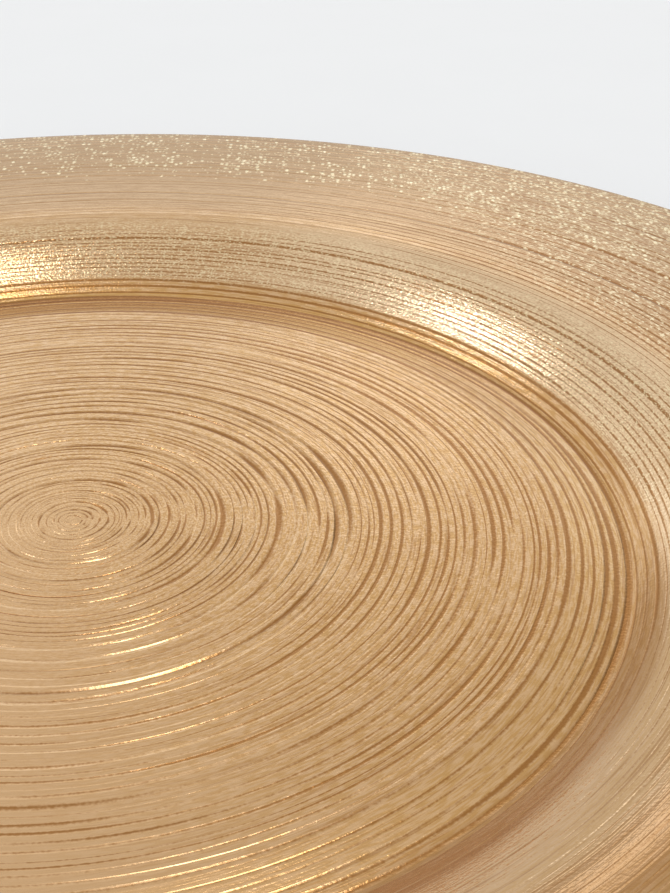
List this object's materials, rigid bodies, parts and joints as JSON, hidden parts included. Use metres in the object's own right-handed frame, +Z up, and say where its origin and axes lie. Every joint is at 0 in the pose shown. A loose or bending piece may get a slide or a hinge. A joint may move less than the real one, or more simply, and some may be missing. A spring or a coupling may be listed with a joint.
{
  "type": "serving platter",
  "caption": "Round shallow serving platter: moulded body with a foot ring, gold facing with turned rings hemmed round a wide rim, and soft pads set into the foot.",
  "frame": {"origin": "on the table, under the middle of the platter, at the level of the pads' undersides", "axes": "+Z up along the platter's axis; +X and +Y lie on the table, each midway between two pads"},
  "size_m": [0.33, 0.33, 0.0144],
  "materials": {
    "body_plastic": "satin gold-brown moulded plastic",
    "gold_facing": "gold metallised, with irregular turned rings",
    "pad_rubber": "cloudy soft rubber"
  },
  "bodies": {
    "root": {"plate_body": "body_plastic", "gold_facing": "gold_facing", "foot_pad_1": "pad_rubber", "foot_pad_2": "pad_rubber", "foot_pad_3": "pad_rubber", "foot_pad_4": "pad_rubber"}
  },
  "joints": []
}
